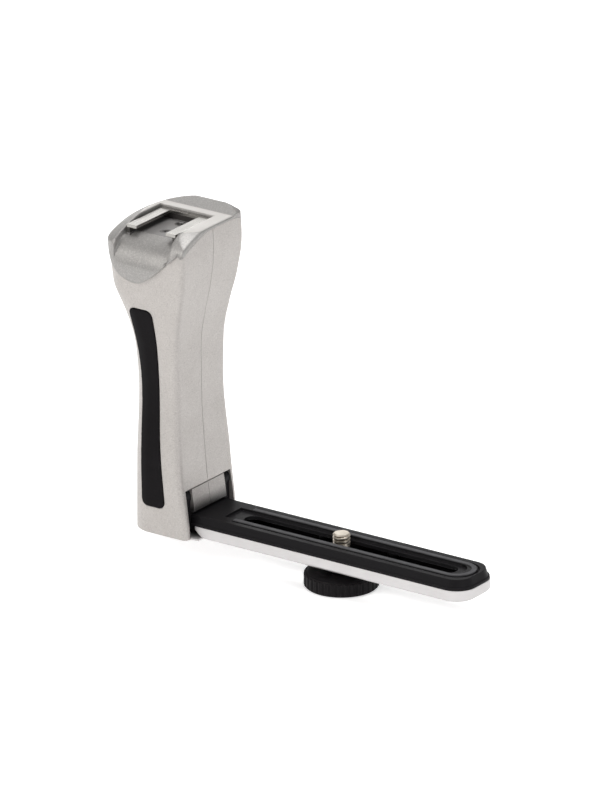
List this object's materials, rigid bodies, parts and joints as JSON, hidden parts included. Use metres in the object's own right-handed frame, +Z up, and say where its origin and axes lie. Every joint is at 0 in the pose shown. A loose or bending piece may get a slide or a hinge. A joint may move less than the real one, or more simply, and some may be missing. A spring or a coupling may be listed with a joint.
{
  "type": "camera flash bracket",
  "caption": "Folding L-shaped flash bracket: a waisted grip handle with an accessory shoe on top and a slotted arm with a sliding camera screw and knob.",
  "frame": {"origin": "where the camera screw's axis crosses the plane that the camera's base sits on, with the screw as it stands in the picture", "axes": "+X along the arm away from the handle, +Y away from the person who holds it towards the lens side, +Z up along the camera screw and the handle"},
  "size_m": [0.1525, 0.0396, 0.1268],
  "materials": {
    "painted_shell": "silver-painted moulding, satin",
    "painted_cap": "silver-painted moulding, satin",
    "painted_block": "silver-painted moulding, satin",
    "pale_metal": "pale silver, fine blasted",
    "soft_grip": "matt soft-touch",
    "bright_rail": "nickel plated sheet",
    "steel_fasteners": "zinc plated",
    "black_moulding": "fine-textured moulding",
    "black_knob": "ribbed moulding",
    "grey_rubber": "matt",
    "bright_screw": "turned, nickel plated"
  },
  "bodies": {
    "handle": {"handle_shell_rear": "painted_shell", "handle_shell_front": "painted_shell", "head_cap": "painted_cap", "hinge_block": "painted_block", "base_plate": "pale_metal", "grip_pad_rear": "soft_grip", "grip_pad_front": "soft_grip", "accessory_shoe": "bright_rail", "shoe_screws": "steel_fasteners", "shell_screws": "steel_fasteners", "base_screws": "steel_fasteners", "hinge_pin": "steel_fasteners", "hinge_washers": "steel_fasteners"},
    "arm": {"arm_body": "black_moulding", "arm_tray": "pale_metal", "slot_liner": "black_moulding", "seat_ridge": "grey_rubber", "arm_screws": "steel_fasteners"},
    "slider": {"slide_washer": "steel_fasteners"},
    "screw_lift": {"retaining_ring": "steel_fasteners", "thrust_washer": "black_moulding"},
    "screw": {"camera_screw": "bright_screw", "knob": "black_knob"}
  },
  "joints": [
    {"name": "arm_fold", "type": "hinge", "parent": "handle", "child": "arm", "pos_m": [-0.0615, 0, 0.0062], "axis": [0, -1, 0], "range_deg": [0, 90]},
    {"name": "screw_slide", "type": "slide", "parent": "arm", "child": "slider", "axis": [1, 0, 0], "range_m": [-0.038, 0.046]},
    {"name": "screw_lift", "type": "slide", "parent": "slider", "child": "screw_lift", "axis": [0, 0, 1], "range_m": [0, 0.0019]},
    {"name": "screw_spin", "type": "hinge", "parent": "screw_lift", "child": "screw", "pos_m": [0, 0, 0], "axis": [0, 0, 1], "continuous": true}
  ]
}
